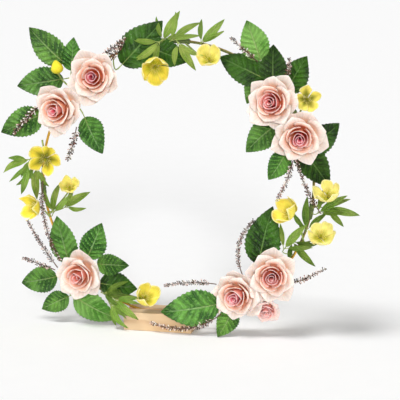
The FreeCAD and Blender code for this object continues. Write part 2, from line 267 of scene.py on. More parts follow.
def sprig_path(solid, count):
    """Points along the middle of a curved rod, from its end nearer the hoop's wire."""
    points, middles, areas = solid
    centroid, axes, _ = main_axes(middles, areas)
    run, rise = axes[0], axes[1]
    front = axes[2]
    along = (points - centroid) @ run
    curve = np.polyfit(along, (points - centroid) @ rise, 2)
    places = np.linspace(along.min(), along.max(), count)
    depth = ((points - centroid) @ front).mean()
    path = centroid + np.outer(places, run) + np.outer(np.polyval(curve, places), rise)
    path = path + depth * front
    if from_wire(path[0]) > from_wire(path[-1]):
        path = path[::-1]
    return path / MM


def from_wire(point):
    """Distance from the hoop's wire circle, in its plane."""
    across, up = point[0] - HOOP_CENTRE.x, point[2] - HOOP_CENTRE.z
    return abs(math.hypot(across, up) - HOOP_RADIUS)


# --- materials

MATERIALS = {}


class Value:
    """An output in a shader tree. Its sums and products add nodes to the tree."""

    def __init__(self, tree, socket):
        self.tree = tree
        self.socket = socket

    def node(self, kind, inputs, **settings):
        return add_node(self.tree, kind, inputs, **settings)

    def maths(self, operation, other=0.0):
        return self.node("ShaderNodeMath", {0: self, 1: other}, operation=operation)

    def __add__(self, other):
        return self.maths("ADD", other)

    def __sub__(self, other):
        return self.maths("SUBTRACT", other)

    def __mul__(self, other):
        return self.maths("MULTIPLY", other)

    def __abs__(self):
        return self.maths("ABSOLUTE")

    def step(self, low, high, to_low=0.0, to_high=1.0):
        """A smooth step from one value to another as this one goes from low to high."""
        return self.node("ShaderNodeMapRange",
                         {"Value": self, "From Min": low, "From Max": high, "To Min": to_low,
                          "To Max": to_high}, interpolation_type="SMOOTHSTEP")

    def between(self, first, second):
        """A colour between two, by this share."""
        return self.node("ShaderNodeMix", {0: self, 6: first, 7: second}, output=2,
                         data_type="RGBA")

    def tinted(self, shade):
        """This colour times another."""
        return self.node("ShaderNodeMix", {0: 1.0, 6: self, 7: shade}, output=2,
                         data_type="RGBA", blend_type="MULTIPLY")

    def strengthened(self, strength):
        """This colour times a number."""
        return self.node("ShaderNodeVectorMath", {0: self, "Scale": strength},
                         operation="SCALE")

    def stretched(self, scales):
        """This vector with each part scaled."""
        return self.node("ShaderNodeVectorMath", {0: self, 1: scales}, operation="MULTIPLY")

    def noise(self, scale, detail=3.0, roughness=0.5):
        return self.node("ShaderNodeTexNoise", {"Vector": self, "Scale": scale,
                                                "Detail": detail, "Roughness": roughness})

    def bump(self, strength, distance):
        return self.node("ShaderNodeBump", {"Height": self, "Strength": strength,
                                            "Distance": distance})

    def parts(self):
        """The three parts of this vector."""
        first = self.node("ShaderNodeSeparateXYZ", {0: self})
        return [Value(self.tree, socket) for socket in first.socket.node.outputs]


def put(socket, value):
    """Links a socket to a value of the tree, or sets it to a number, vector or colour."""
    if isinstance(value, Value):
        value.tree.links.new(value.socket, socket)
    elif socket.type == "RGBA":
        socket.default_value = (*value, 1.0)
    else:
        socket.default_value = value


def add_node(tree, kind, inputs=None, output=0, **settings):
    """One output of a new node, with the node's settings and inputs."""
    node = tree.nodes.new(kind)
    for name, value in settings.items():
        setattr(node, name, value)
    for name, value in (inputs or {}).items():
        put(node.inputs[name], value)
    return Value(tree, node.outputs[output])


def coordinates(tree):
    """Object coordinates, which are the row frame in metres."""
    return add_node(tree, "ShaderNodeTexCoord", output="Object")


def own_shade(tree):
    """The mesh's own colours."""
    return add_node(tree, "ShaderNodeAttribute", attribute_name="shade")


def own_place(tree):
    """The mesh's detail map: along and across a leaf, or across and along a petal."""
    return add_node(tree, "ShaderNodeUVMap", uv_map="detail")


def new_tree(name):
    """The shader tree of a new material with a Principled surface."""
    MATERIALS[name] = bpy.data.materials.new(name)
    MATERIALS[name].use_nodes = True
    return MATERIALS[name].node_tree


def finish(tree, inputs):
    """Links or sets the surface's own sockets."""
    for name, value in inputs.items():
        put(tree.nodes["Principled BSDF"].inputs[name], value)


def petal_material(name, streak):
    """Soft petals: the mesh's own shades, with fine veins from base to rim."""
    tree = new_tree(name)
    veins = own_place(tree).stretched((26.0, 1.6, 1.0)).noise(1.0, 4.0, 0.6)
    blotch = coordinates(tree).noise(160.0)
    fleck = coordinates(tree).noise(1500.0, 2.0)
    veined = veins.step(0.3, 0.75, 1 - streak, 1 + streak * 0.4)
    mottled = blotch.step(0.3, 0.7, 0.955, 1.03)
    finish(tree, {"Base Color": own_shade(tree).strengthened(veined * mottled),
                  "Normal": (veins * 0.8 + fleck * 0.35).bump(0.35, 0.0006),
                  "Roughness": blotch.step(0.3, 0.7, 0.5, 0.66),
                  "Subsurface Weight": 0.25, "Subsurface Radius": (1.0, 0.5, 0.35),
                  "Subsurface Scale": 0.0010, "Sheen Weight": 0.08, "Sheen Roughness": 0.5,
                  "Specular IOR Level": 0.3})


def leaf_material(name, deep, fresh, vein, vein_count, slant, gloss):
    """A veined leaf: tissue that swells between its veins, over a fine net of cells."""
    tree = new_tree(name)
    deep, fresh, vein = colour(*deep), colour(*fresh), colour(*vein)
    place = own_place(tree)
    along, signed_across, _ = place.parts()
    across = abs(signed_across)
    warp = place.stretched((6.0, 3.0, 1.0)).noise(1.0, 2.0)
    phase = (along - across * slant + (warp - 0.5) * 0.045) * float(vein_count)
    ripple = abs(phase.maths("FRACT") - 0.5)
    puckers = place.stretched((22.0, 9.0, 1.0)).noise(1.0, 2.0)
    quilt = ripple.step(0.05, 0.42, 1.0, 0.0)
    # Painted highlight: the swells between the veins are lightened where they would catch the
    # light.
    quilt_highlight = quilt * puckers.step(0.40, 0.62)
    side_vein = ripple.step(0.42, 0.5) * across.step(0.75, 0.98, 1.0, 0.25)
    midrib = across.step(0.02, 0.075, 1.0, 0.0)
    cells = add_node(tree, "ShaderNodeTexVoronoi",
                     {"Vector": place.stretched((34.0, 15.0, 1.0)), "Scale": 1.0},
                     output="Distance", feature="DISTANCE_TO_EDGE")
    net = cells.step(0.0, 0.10, 1.0, 0.0)
    patches = coordinates(tree).noise(60.0, 4.0)
    base = patches.step(0.36, 0.66, 0.0, 0.75).between(deep, fresh)
    # The first mask paints highlight on the swells; the rest are the leaf's own veins and cells.
    for mask, strength, tone in ((quilt_highlight, 0.60, fresh), (net, 0.05, vein),
                                 (side_vein, 0.40, vein), (midrib, 0.75, vein)):
        base = (mask * strength).between(base, tone)
    sunk = side_vein * 0.8 + net * 0.22 + midrib
    relief = (quilt * 0.7 + puckers * 1.8 - sunk).bump(1.0, 0.0018)
    finish(tree, {"Base Color": base.tinted(own_shade(tree)), "Normal": relief,
                  "Roughness": patches.step(0.3, 0.7, gloss + 0.16, gloss) + net * 0.06,
                  "Specular IOR Level": 0.34, "Coat Weight": 0.5 if gloss < 0.3 else 0.1,
                  "Coat Roughness": 0.14, "Coat Normal": relief})


def stem_material(name, dark, light, roughness):
    """Green or brown stems: streaks along the stem and small bumps."""
    tree = new_tree(name)
    dark, light = colour(*dark), colour(*light)
    where = coordinates(tree)
    streaks = where.stretched((900.0, 900.0, 220.0)).noise(1.0)
    spots = where.noise(420.0, 2.0)
    base = streaks.step(0.3, 0.7).between(dark, light)
    base = spots.step(0.58, 0.7, 0.0, 0.5).between(base, dark * 0.5)
    finish(tree, {"Base Color": base.tinted(own_shade(tree)),
                  "Normal": streaks.bump(0.4, 0.0003),
                  "Roughness": spots.step(0.3, 0.7, roughness - 0.08, roughness + 0.1)})


def small_parts_material():
    """Small parts that carry their own shade: stamens and heather buds."""
    tree = new_tree("small_parts")
    grain = coordinates(tree).noise(2200.0, 2.0)
    strength = grain.step(0.3, 0.7, 0.8, 1.1)
    finish(tree, {"Base Color": own_shade(tree).strengthened(strength),
                  "Normal": grain.bump(0.4, 0.0002), "Roughness": 0.6})


def gold_material():
    """Gold-plated iron wire: slight tarnish and small dents."""
    tree = new_tree("gold_wire")
    where = coordinates(tree)
    tarnish = where.noise(45.0, 4.0, 0.6)
    fine = where.noise(1400.0)
    base = tarnish.step(0.42, 0.72).between(colour(226, 178, 78), colour(176, 122, 42))
    finish(tree, {"Base Color": base, "Metallic": 1.0,
                  "Roughness": tarnish.step(0.35, 0.75, 0.22, 0.36) + fine * 0.06,
                  "Normal": (tarnish * 0.4 + fine * 0.3).bump(0.25, 0.0003)})


def pine_material():
    """Planed pine: growth rings of a far-off log along X, cut by every face alike."""
    tree = new_tree("pine")
    where = coordinates(tree)
    _, y, z = where.parts()
    log_y, log_z = 0.150, -0.045
    ring_gap = 0.0046
    drift = where.stretched((7.0, 24.0, 24.0)).noise(1.0)
    waver = where.stretched((28.0, 130.0, 130.0)).noise(1.0, 2.0)
    radius = ((y - log_y).maths("POWER", 2.0) + (z - log_z).maths("POWER", 2.0)).maths("SQRT")
    radius = radius + drift * 0.010 + waver * 0.0007
    ring = radius.maths("DIVIDE", ring_gap).maths("FRACT")
    late = ring.step(0.60, 0.93) * ring.step(0.93, 1.0, 1.0, 0.0)
    fibres = where.stretched((60.0, 1900.0, 1900.0)).noise(1.0, 4.0, 0.6)
    patches = where.stretched((10.0, 40.0, 40.0)).noise(1.0, 2.0)
    pores = where.noise(2600.0, 2.0)
    facing_x = add_node(tree, "ShaderNodeNewGeometry", output="Normal").parts()[0]
    end_grain = abs(facing_x).step(0.6, 0.95)
    base = patches.step(0.3, 0.7).between(colour(220, 194, 158), colour(206, 172, 130))
    for mask, tone in ((late * end_grain.step(0.0, 1.0, 0.28, 0.65), colour(166, 110, 60)),
                       (fibres.step(0.56, 0.78, 0.0, 0.32), colour(206, 160, 108)),
                       (end_grain * (pores.step(0.4, 0.65) * 0.22), colour(190, 140, 92)),
                       # Inside the slot the wood is mixed to a darker orange.
                       (slot_inside_mask(y, z) * 0.6, colour(214, 150, 70))):
        base = mask.between(base, tone)
    relief = fibres * 0.6 + late * -0.4 + pores * end_grain * 0.8
    finish(tree, {"Base Color": base, "Normal": relief.bump(0.35, 0.0004),
                  "Roughness": late.step(0.0, 1.0, 0.62, 0.48), "Specular IOR Level": 0.35})


def slot_inside_mask(y, z):
    """One inside the slot's walls and floor, zero on the block's outside."""
    low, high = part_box("wood_stand")
    half_slot = WIRE_GAUGE / 2 + 0.35 * MM
    near_middle = abs(y).maths("LESS_THAN", half_slot)
    above_floor = z.maths("GREATER_THAN", low.z + 11.0 * MM)
    below_top = z.maths("LESS_THAN", high.z - 0.3 * MM)
    return near_middle * (above_floor * below_top)


def tape_material():
    """Crinkled green floral tape."""
    tree = new_tree("floral_tape")
    where = coordinates(tree)
    crinkle = where.noise(900.0, 3.0, 0.7)
    wear = where.noise(200.0)
    base = crinkle.step(0.3, 0.7).between(colour(66, 84, 38), colour(104, 122, 62))
    base = wear.step(0.55, 0.75, 0.0, 0.5).between(base, colour(136, 140, 92))
    finish(tree, {"Base Color": base, "Normal": crinkle.bump(0.7, 0.0004),
                  "Roughness": wear.step(0.3, 0.7, 0.6, 0.8)})


def floor_material():
    """Matt white paper with the faintest unevenness."""
    tree = new_tree("floor")
    speck = coordinates(tree).noise(30.0, 2.0)
    finish(tree, {"Base Color": speck.between((0.955, 0.955, 0.955), (0.98, 0.98, 0.98)),
                  "Roughness": 0.9, "Specular IOR Level": 0.1})


# --- roses

def bezier(points, share):
    """A cubic curve through four control values, at the shares given."""
    first, second, third, fourth = points
    rest = 1 - share
    return (first * rest ** 3 + 3 * second * rest ** 2 * share
            + 3 * third * rest * share ** 2 + fourth * share ** 3)


def mixed(first, second, share):
    return first * (1 - share) + second * share


def smoothstep(low, high, value):
    share = np.clip((value - low) / (high - low), 0, 1)
    return share * share * (3 - 2 * share)


def petal_grid(columns, rows):
    """Places across a petal, from -1 to 1, and along it from its foot, from 0 to 1."""
    return np.meshgrid(np.linspace(-1, 1, columns), np.linspace(0, 1, rows))


def rose_curve(share, rim, top, openness):
    """Radius and height along a petal. openness runs from 0, a cup that leans in, through
    1, a petal that curls back, to 2, a guard petal that lies out flat."""
    cup = (bezier((1.4, 1.15 * rim, 1.16 * rim, 0.96 * rim), share),
           bezier((2.0, 0.8, 0.80 * top, top), share))
    curled = (bezier((1.6, 0.80 * rim, 0.80 * rim, 1.08 * rim), share),
              bezier((2.0, 1.5, 1.02 * top, 0.88 * top), share))
    guard = (bezier((1.6, 0.55 * rim, 0.84 * rim, 1.07 * rim), share),
             bezier((1.6, 0.8, 0.65 * top, top), share))
    weights = (max(0, 1 - openness), 1 - abs(1 - openness), max(0, openness - 1))
    curves = (cup, curled, guard)
    return [sum(weight * curve[part] for weight, curve in zip(weights, curves))
            for part in (0, 1)]


def rose_petal(surface, rng, turn, half_width, rim, top, openness, tones):
    """One petal, wrapped round the flower's axis, its tip pointed and its sides rolled back."""
    across, along = petal_grid(19, 15)
    opened = min(1.0, openness)
    outline = 1 - (0.16 + 0.16 * opened) * np.abs(across) ** (2.6 - 1.2 * opened)
    outline = outline + rng.uniform(-0.03, 0.03) * across
    outline = outline + 0.05 * opened * np.exp(-(across / 0.22) ** 2)
    radius, lift = rose_curve(along * outline, rim, top, openness)
    rolled = smoothstep(0.72, 1.0, along)
    sides = np.abs(across + rng.uniform(-0.2, 0.2)) ** 1.3
    bend = rolled * (1.0 + (0.8 + 1.3 * opened) * sides) * rng.uniform(0.8, 1.2)
    roll = 0.80 + 0.70 * opened
    radius = radius + roll * np.sin(bend)
    lift = lift - roll * (1 - np.cos(bend))
    radius = radius + (0.30 + 0.040 * rim) * across * along ** 0.7
    ruffle = (0.12 + 0.016 * rim) * along ** 3
    lift = lift + ruffle * np.sin(across * rng.uniform(3, 6) + rng.uniform(0, 6))
    radius = radius + ruffle * np.cos(across * rng.uniform(3, 6) + rng.uniform(0, 6))
    crease = 0.9 * opened * np.exp(-(across / 0.12) ** 2) * rolled
    lift = lift + 0.6 * crease
    radius = np.maximum(radius + crease, 0.2)
    width = half_width * (0.45 + 0.55 * np.clip(along / 0.5, 0, 1) ** 0.7)
    # The rim and the rolled sides take the pale edge tone: partly the petal's own colour, partly
    # painted highlight.
    lip = 0.76 + 0.11 * opened
    to_edge = smoothstep(lip, lip + 0.10, along) * 0.95 + 0.2 * np.abs(across) ** 4
    surface.petal(across, along, turn, turn + across * width, radius, lift, tones,
                  smoothstep(0.35, 0.88, along), np.clip(to_edge, 0, 1))


def rose_tones(share, heart, flush):
    """Base, body and rim colours of a petal at a share of the flower's radius. The darker base is
    partly the petal's own colour and partly painted shade in the creases, and the paler rim is
    partly its own colour and partly painted highlight. The heart's colour has faded by the share
    that flush gives."""
    faded = smoothstep(0.35 * flush, 1.25 * flush, share)
    pale = smoothstep(0.42, 0.86, share)
    # The foot: partly the petal's own colour, partly painted shade in the creases between petals.
    deep = mixed(mixed(heart * HEART_CREASE_SHADE, PEACH, faded), PEACH_PALE, pale)
    body = mixed(mixed(heart, BLUSH, faded), CREAM_PINK * 0.93, pale)
    # The rim: partly the petal's own colour, partly painted highlight where rims catch the light.
    edge = mixed(mixed(heart, HEART_RIM, 0.85), CREAM_PINK, faded)
    return deep, body, edge


# Rings of a rose from the heart out: petals, first and last rim as shares of the radius,
# half width in radians, openness and height share at the first and last.
FULL_ROSE = (
    (6, 0.050, 0.22, 1.60, 1.25, 0.30, 0.30, 1.08, 1.07),
    (5, 0.29, 0.47, 1.15, 1.00, 0.30, 0.60, 1.03, 0.94),
    (4, 0.55, 0.73, 0.98, 0.88, 0.75, 1.00, 0.88, 0.80),
    (4, 0.80, 0.92, 0.88, 0.80, 1.10, 1.45, 0.76, 0.67),
    (5, 0.96, 1.02, 0.76, 0.72, 1.70, 2.00, 0.58, 0.48),
)
OPEN_ROSE = (
    (5, 0.055, 0.21, 1.60, 1.25, 0.35, 0.30, 1.06, 1.06),
    (3, 0.29, 0.40, 1.25, 1.10, 0.30, 0.50, 1.02, 0.99),
    (4, 0.50, 0.64, 1.15, 1.00, 0.70, 0.95, 0.94, 0.88),
    (4, 0.77, 0.88, 0.95, 0.85, 1.10, 1.40, 0.84, 0.74),
    (5, 0.95, 1.02, 0.80, 0.76, 1.70, 2.00, 0.60, 0.50),
)


def make_rose(node, seed, heart, flush, rings, spread=1.15):
    """A full rose: petals a golden turn apart, each ring wider, lower and more open. The
    rings' shares are of its solid's radius times spread."""
    rng = random.Random(seed)
    matrix, radius, height = bloom_place(node)
    surface = Surface()
    turn = rng.uniform(0, math.tau)
    reach = radius * spread
    for count, near, far, wide, narrow, shut, opened, first_top, last_top in rings:
        for number in range(count):
            share = number / (count - 1)
            turn += GOLDEN_TURN + rng.uniform(-0.10, 0.10)
            rim = reach * mixed(near, far, share)
            rim = rim * (1 + rng.uniform(-0.09, 0.05) * smoothstep(0.5, 0.9, rim / reach))
            top = height * mixed(first_top, last_top, share) + rng.uniform(-0.5, 0.5)
            rose_petal(surface, rng, turn, mixed(wide, narrow, share), rim, top,
                       mixed(shut, opened, share), rose_tones(rim / reach, heart, flush))
    surface.piece(f"{node}_petals", matrix, "rose_petal", "rose_petal", node=node, thickness=0.32)
    make_calyx(node, matrix, radius, rng)


def make_calyx(node, matrix, radius, rng):
    """The green hip and five narrow sepals at a flower's back."""
    surface = Surface()
    hip = [(0, 0, -0.2), (0, 0, 0.8), (0, 0, 2.2), (0, 0, 3.4)]
    surface.tube(hip, [1.3, 2.0, 2.6, 1.6], sides=12)
    for number in range(5):
        turn = number * math.tau / 5 + rng.uniform(-0.15, 0.15)
        across, along = petal_grid(5, 9)
        half = 0.13 * radius * (1 - along) ** 0.8 * (0.5 + along) + 0.08
        out = 1.2 + along * 0.62 * radius
        lift = 0.6 + 0.25 * radius * along ** 1.8 - 0.35
        side = across * half
        points = np.stack([out * math.cos(turn) - side * math.sin(turn),
                           out * math.sin(turn) + side * math.cos(turn),
                           lift - 0.15 * np.abs(across)], axis=-1)
        surface.grid(points, WHITE, np.stack([along, across], axis=-1))
    surface.piece(f"{node}_calyx", matrix, "green_stem", "green_stem", thickness=0.35)


# --- leaves

def leaf_outline(share, heel_power, tip_power):
    """Half width along a blade, from 0 to 1, widest nearer the heel."""
    widest = heel_power / (heel_power + tip_power)
    peak = widest ** heel_power * (1 - widest) ** tip_power
    return share ** heel_power * (1 - share) ** tip_power / peak


def add_blade(surface, length, width, rng, style, turn=0.0, start=(0.0, 0.0, 0.0)):
    """A blade on its stalk, with veins swelling the tissue between them. It runs along
    local X, or turned from it in radians, from the start point. Gives its midrib's path."""
    stalk = style["stalk"]
    run = length - stalk
    rows, columns = style["rows"], 17
    steps = np.linspace(0, 1, rows)
    share = 0.006 + 0.99 * (0.55 * (1 - np.cos(steps * math.pi)) / 2 + 0.45 * steps)
    across, along = np.meshgrid(np.linspace(1, -1, columns), share)
    half = width / 2 * leaf_outline(along, style["heel"], style["tip"])
    tooth = (np.arange(rows) % 3 / 2 - 0.5)[:, None]
    aside = np.abs(across)
    margin = smoothstep(0.80, 1.0, aside)
    out = across * half * (1 + style["teeth"] * tooth * margin)
    fold = style["fold"] * rng.uniform(0.7, 1.3)
    lift = fold * np.sqrt(out ** 2 + 0.25) - fold * 0.5
    lift = lift - style["arch"] * rng.uniform(0.7, 1.3) * out ** 2 / width
    lift = lift - style["sag"] * rng.uniform(0.3, 1.4) * run * (along - 0.25) ** 2
    phase = style["veins"] * (along - style["slant"] * aside)
    swell = style["swell"] * (1 - aside ** 3) * smoothstep(0.0, 0.15, aside)
    lift = lift - swell * np.cos(phase * math.tau)
    ripple = np.sin(along * rng.uniform(8, 13) + np.sign(across) * rng.uniform(0, 3))
    lift = lift + style["wave"] * aside ** 3 * ripple
    twist = style["twist"] * rng.uniform(-1, 1) * along
    sway = rng.uniform(-1, 1) * style["sway"] * run * (along * (1 - along))
    y = out * np.cos(twist) - lift * np.sin(twist) + sway
    z = out * np.sin(twist) + lift * np.cos(twist)
    x = stalk + run * along - 0.10 * np.abs(out) * margin
    points = np.stack([x, y, z], axis=-1)
    spine = points[::3, columns // 2] - [0, 0, 0.18]
    heel = np.array([[0, 0, 0], [stalk * 0.35, 0, -0.15], [stalk * 0.75, 0, -0.1]])
    path = np.concatenate([heel, spine[1:]])
    spun = np.array([[math.cos(turn), math.sin(turn), 0], [-math.sin(turn), math.cos(turn), 0],
                     [0, 0, 1]])
    tint = rng.uniform(0.80, 1.15) * np.array([rng.uniform(0.9, 1.1), 1.0, 0.92])
    surface.grid(points @ spun + start, tint, np.stack([along, across], axis=-1))
    taper = np.concatenate([[1.0, 0.85, 0.75], np.linspace(0.7, 0.16, len(spine) - 1)])
    return path @ spun + start, taper * style["rib"]


def to_stems(matrix):
    """Local points from the stems bound to the hoop up to a leaf's heel."""
    heel = np.array(matrix.translation)
    centre = np.array(HOOP_CENTRE)
    ring = unit((heel - centre) * [1, 0, 1]) * HOOP_RADIUS
    bound = centre + ring - [0, STEM_DEPTH, 0]
    run = np.array(matrix.col[0][:3])
    before = heel - run * min(0.5 * np.linalg.norm(heel - bound), 8 * MM)
    share = np.linspace(0, 1, 6)[:-1, None]
    path = bezier((bound, 0.6 * bound + 0.4 * before, before, heel), share)
    return np.array([matrix.inverted() @ Vector(point) for point in path]) / MM


# How a blade is built: stalk, swell, wave and rib in mm, twist in radians, the rest shares.
ROSE_LEAF = {"stalk": 6.0, "rows": 49, "heel": 0.68, "tip": 0.96, "teeth": 0.085,
             "fold": 0.30, "arch": 0.55, "sag": 0.20, "veins": 8, "slant": 0.20,
             "swell": 0.42, "wave": 0.9, "twist": 0.25, "sway": 0.12, "rib": 0.75}
BRACT_LEAF = {"stalk": 4.0, "rows": 31, "heel": 0.75, "tip": 0.95, "teeth": 0.0,
              "fold": 0.40, "arch": 0.50, "sag": 0.30, "veins": 5, "slant": 0.35,
              "swell": 0.10, "wave": 0.5, "twist": 0.6, "sway": 0.30, "rib": 0.55}


def make_leaf(node, seed, finish):
    """A rose leaf: the blade as a thin shell, its stalk and midrib as a tapered tube."""
    rng = random.Random(seed)
    matrix, length, width = blade_place(solids_of(node)[0])
    surface = Surface()
    path, taper = add_blade(surface, length, width * 1.04, rng, ROSE_LEAF)
    surface.piece(f"{node}_blade", matrix, "rose_leaf", finish, "rose_leaf_back", node, 0.3)
    add_ribs(f"{node}_rib", matrix, [(path, taper)])


def add_ribs(name, matrix, ribs):
    """Midribs and stalks as tapered tubes; the first goes on down to the hoop's stems."""
    surface = Surface()
    lead = to_stems(matrix)
    for number, (path, taper) in enumerate(ribs):
        if number == 0:
            path = np.concatenate([lead, path])
            taper = np.concatenate([np.full(len(lead), taper[0]), taper])
        surface.tube(path, taper, sides=7)
    surface.piece(name, matrix, "green_stem", "pale_stem")


def make_bracts(node, seed):
    """Pale narrow leaves, one for each solid of the node, each with its lesser leaflets."""
    rng = random.Random(seed)
    for number, solid in enumerate(solids_of(node), start=1):
        matrix, length, width = blade_place(solid)
        surface = Surface()
        ribs = [add_blade(surface, length, width * rng.uniform(0.80, 1.05), rng, BRACT_LEAF)]
        for side in BRACT_SIDES[node]:
            turn = side * math.radians(rng.uniform(20, 50))
            start = np.array([rng.uniform(0.0, 2.5), 0.0, rng.uniform(-0.8, 0.2)])
            ribs.append(add_blade(surface, length * rng.uniform(0.62, 0.88),
                                  width * rng.uniform(0.50, 0.70), rng, BRACT_LEAF, turn, start))
        name = f"{node}_{number}"
        deep = rng.random() < BRACT_DEEP_SHARES[node]
        finish = "bract_leaf_deep" if deep else "bract_leaf"
        surface.piece(name, matrix, "bract_leaf", finish, "bract_leaf_back", node, 0.28)
        add_ribs(f"{name}_rib", matrix, ribs)


# --- hellebores

def hellebore_petal(surface, rng, turn, reach, height, openness, tones, old, layer):
    """One broad, cupped petal of a five-petalled bell, with a blunt point and wavy edge."""
    across, along = petal_grid(15, 13)
    blunt = 1.7 - 0.65 * old
    outline = 1 - (0.36 + 0.20 * old) * np.abs(across) ** blunt
    outline = outline + rng.uniform(-0.05, 0.05) * across
    outline = outline + (0.06 + 0.08 * old) * np.exp(-(across / 0.25) ** 2)
    share = along * outline
    cup_r = (0.8, 0.80 * reach, 1.05 * reach, 0.74 * reach)
    cup_z = (0.6, 0.1, 0.95 * height, 1.75 * height)
    flat_r = (0.8, 0.50 * reach, 0.85 * reach, 1.16 * reach)
    flat_z = (0.6, 0.7, 0.40 * height, 0.80 * height)
    radius = mixed(bezier(cup_r, share), bezier(flat_r, share), openness)
    lift = mixed(bezier(cup_z, share), bezier(flat_z, share), openness)
    parted = smoothstep(0.05, 0.3, along)
    lift = lift + layer * 0.9 * parted
    radius = radius - layer * 0.9 * parted
    wavy = 0.8 * along ** 3 * np.sin(across * rng.uniform(3, 6) + rng.uniform(0, 6))
    lift = lift + wavy
    radius = radius + 0.6 * wavy + smoothstep(0.8, 1.0, along) * rng.uniform(0.0, 1.6)
    radius = radius + 0.9 * np.exp(-(across / 0.10) ** 2) * along * (1 - along)
    waist = 0.90 - 0.15 * old
    width = (0.72 - 0.06 * old) * (waist + (1 - waist) * np.clip(along / 0.45, 0, 1) ** 0.8)
    angle = turn + across * width * (1 - 0.12 * openness)
    to_body = smoothstep(0.10, 0.55 + 0.20 * old, along + rng.uniform(-0.05, 0.05))
    sides = smoothstep(0.75, 1.0, np.abs(across)) * smoothstep(0.35, 0.85, along)
    rim = np.maximum(smoothstep(0.84, 1.0, along), sides * 0.7)
    surface.petal(across, along, turn, angle, radius, lift, tones, to_body, rim * 0.85)


def at_turn(turn, out, up):
    """A point beside and above a flower's axis."""
    return np.array([math.cos(turn) * out, math.sin(turn) * out, up])


def make_stamens(node, matrix, reach, height, rng, tip_shade):
    """A brush of thin filaments with small anthers round a green middle."""
    surface = Surface()
    count = 34
    for number in range(count):
        turn = number * GOLDEN_TURN
        out = (0.08 + 0.34 * math.sqrt(number / count)) * reach
        top = at_turn(turn, out, height * rng.uniform(0.45, 0.72))
        foot = at_turn(turn, 0.25 * out, 1.0)
        bend = (foot + top) / 2 + at_turn(turn, 0.10 * out, 0.4)
        surface.tube([foot, bend, top], [0.16, 0.13, 0.11], LEMON_PALE, sides=4)
        lean = top + at_turn(turn, 0.05 * out, 0.75)
        surface.tube([top, (top + lean) / 2, lean], [0.22, 0.42, 0.16], tip_shade, sides=5)
    for number in range(5):
        turn = number * math.tau / 5
        foot = at_turn(turn, 0.5, 0.9)
        top = at_turn(turn, 0.9, height * 0.75)
        surface.tube([foot, (foot + top) / 2, top], [0.55, 0.5, 0.12], LEMON_GREEN, sides=6)
    surface.piece(f"{node}_stamens", matrix, "hellebore_petal", "small_parts")


def make_hellebore(node, seed, openness, pale, old, tilt):
    """A five-petalled hellebore. openness runs from 0, a closed cup, to 1, spread out. old
    makes its middle dark, and tilt tips its face up, in degrees."""
    rng = random.Random(seed)
    matrix, radius, height = bloom_place(node)
    matrix = matrix @ Matrix.Rotation(math.radians(tilt), 4, "X")
    reach = radius * 1.10
    surface = Surface()
    body = mixed(LEMON, LEMON_PALE, pale)
    tones = (mixed(LEMON_GREEN, OLIVE, old), body, mixed(LEMON_PALE, CREAM_PINK, 0.3))
    start = rng.uniform(0, math.tau)
    for number in range(5):
        turn = start + number * 2 * math.tau / 5 + rng.uniform(-0.12, 0.12)
        hellebore_petal(surface, rng, turn, reach * rng.uniform(0.92, 1.08), height,
                        openness + rng.uniform(-0.12, 0.12), tones, old, number % 2)
    surface.piece(f"{node}_petals", matrix, "hellebore_petal", "hellebore_petal",
                  None, node, 0.36)
    make_stamens(node, matrix, reach, height, rng, mixed(STAMEN_YELLOW, STAMEN_DARK, old))
    make_neck(node, matrix)


def make_neck(node, matrix):
    """The green swelling where a flower joins its stalk."""
    surface = Surface()
    path = [(0, 0, -2.4), (0, 0, -1.2), (0, 0, 0.0), (0, 0, 1.0)]
    surface.tube(path, [0.9, 1.1, 1.8, 2.2], sides=10)
    surface.piece(f"{node}_neck", matrix, "green_stem", "pale_stem")


def make_bud(node, seed):
    """A closed bud: four petals folded over one another into an egg."""
    rng = random.Random(seed)
    matrix, radius, height = bloom_place(node)
    surface = Surface()
    for number in range(4):
        across, along = petal_grid(13, 13)
        turn = number * math.tau / 4 + rng.uniform(-0.1, 0.1)
        swell = np.sin(np.clip(along * 1.02, 0, 1) ** 0.75 * math.pi) ** 0.75
        round_in = radius * (0.10 + 0.92 * swell) + 0.25 * across + 0.12 * number
        angle = turn + across * 1.05 * (1 - 0.25 * along)
        lift = height * (along - 0.05 * np.abs(across) ** 2 * along) + 0.05 * number
        green = smoothstep(0.45, 0.0, along) * 0.7
        tones = (LEMON, LEMON_GREEN, LEMON)
        surface.petal(across, along, turn, angle, round_in, lift, tones, green, 0 * green)
    surface.piece(f"{node}_petals", matrix, "hellebore_petal", "hellebore_petal",
                  None, node, 0.3)
    make_neck(node, matrix)


# --- stems and heather

def make_stalks():
    """Bowed stalks in place of the straight rods, from the hoop's stems to each flower."""
    surface = Surface()
    blooms = [bloom_place(node)[0] for node in (*HELLEBORE_LOOKS, "hellebore_bud")]
    for points, middles, areas in solids_of("flower_stalks"):
        centroid, axes, _ = main_axes(middles, areas)
        run = axes[0]
        reach = (points - centroid) @ run
        ends = [centroid + run * reach.min(), centroid + run * reach.max()]
        gaps = [(np.linalg.norm(np.array(bloom.translation) - end), number, bloom)
                for number, end in enumerate(ends) for bloom in blooms]
        _, number, bloom = min(gaps, key=lambda gap: gap[0])
        tip, foot = np.array(bloom.translation), ends[1 - number]
        axis = np.array(bloom.col[2][:3])
        length = np.linalg.norm(tip - foot)
        bound = foot + [0, STEM_DEPTH, 0] + (foot - tip) / length * 4 * MM
        share = np.linspace(0, 1, 14)[:, None]
        path = bezier((bound, foot - axis * 1 * MM, tip - axis * 0.4 * length, tip), share)
        surface.tube(path / MM, np.linspace(1.1, 0.8, 14), sides=9)
    surface.piece("flower_stalk_set", UNTURNED, "green_stem", "pale_stem",
                  node="flower_stalks")


